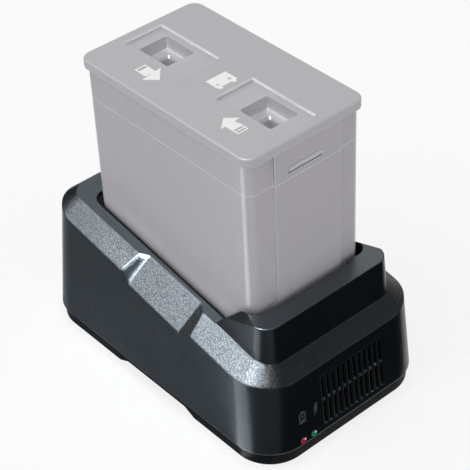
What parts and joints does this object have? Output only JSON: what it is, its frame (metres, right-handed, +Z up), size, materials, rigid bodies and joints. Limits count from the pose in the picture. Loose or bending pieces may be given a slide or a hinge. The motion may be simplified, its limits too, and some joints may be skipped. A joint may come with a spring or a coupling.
{
  "type": "power tool battery charger",
  "caption": "Bench charger with a bay for a tall slide-in battery pack, a raised front collar, vent slots, indicator lamps and the docked pack with its sliding latches.",
  "frame": {"origin": "on the floor, under the centre of the charger's footprint", "axes": "+Z up, -Y towards the lamp and vent end, +X to the right seen from that end"},
  "size_m": [0.1592, 0.2576, 0.24],
  "materials": {
    "housing_plastic": "dark blue-grey moulded plastic, spark-eroded grain on the shoulders",
    "liner_plastic": "black moulded plastic",
    "pan_plastic": "black moulded plastic",
    "foot_rubber": "black rubber",
    "screw_steel": "zinc-plated steel",
    "board_laminate": "green circuit board",
    "core_iron": "ferrite",
    "winding_tape": "yellow tape",
    "capacitor_sleeve": "dark blue sleeve",
    "sink_aluminium": "extruded aluminium",
    "led_epoxy": "clear epoxy",
    "lens_red": "clear red plastic",
    "lens_green": "clear green plastic",
    "inlet_plastic": "black moulded plastic",
    "contact_brass": "plated brass",
    "pack_plastic": "pale grey moulded plastic",
    "lid_plastic": "pale grey moulded plastic",
    "latch_plastic": "pale grey moulded plastic",
    "socket_plastic": "black moulded plastic",
    "block_plastic": "grey battery jar",
    "spring_steel": "spring wire"
  },
  "bodies": {
    "charger": {"upper_housing": "housing_plastic", "bay_liner": "liner_plastic", "contact_block": "liner_plastic", "contact_blades": "contact_brass", "base_pan": "pan_plastic", "foot_pads": "foot_rubber", "base_screws": "screw_steel", "main_circuit_board": "board_laminate", "board_screws": "screw_steel", "transformer_core": "core_iron", "transformer_winding": "winding_tape", "capacitors": "capacitor_sleeve", "heat_sink": "sink_aluminium", "indicator_leds": "led_epoxy", "indicator_board": "board_laminate", "lamp_lens_red": "lens_red", "lamp_lens_green": "lens_green", "mains_inlet": "inlet_plastic", "inlet_pins": "contact_brass"},
    "pack": {"pack_case": "pack_plastic", "pack_socket": "socket_plastic", "socket_clips": "contact_brass", "battery_block_lower": "block_plastic", "battery_block_upper": "block_plastic", "battery_tabs": "contact_brass", "pack_head": "pack_plastic", "pack_lid": "lid_plastic", "lid_screws": "screw_steel", "latch_spring_front": "spring_steel", "latch_spring_rear": "spring_steel"},
    "latch_front": {"latch_front": "latch_plastic"},
    "latch_rear": {"latch_rear": "latch_plastic"}
  },
  "joints": [
    {"name": "pack_lift", "type": "slide", "parent": "charger", "child": "pack", "axis": [0, 0, 1], "range_m": [0, 0.09]},
    {"name": "latch_front_slide", "type": "slide", "parent": "pack", "child": "latch_front", "axis": [0, 1, 0], "range_m": [0, 0.006], "stiffness_N_per_m": 600, "springref_m": -0.004, "deforming": ["latch_spring_front"]},
    {"name": "latch_rear_slide", "type": "slide", "parent": "pack", "child": "latch_rear", "axis": [0, -1, 0], "range_m": [0, 0.006], "stiffness_N_per_m": 600, "springref_m": -0.004, "deforming": ["latch_spring_rear"]}
  ]
}
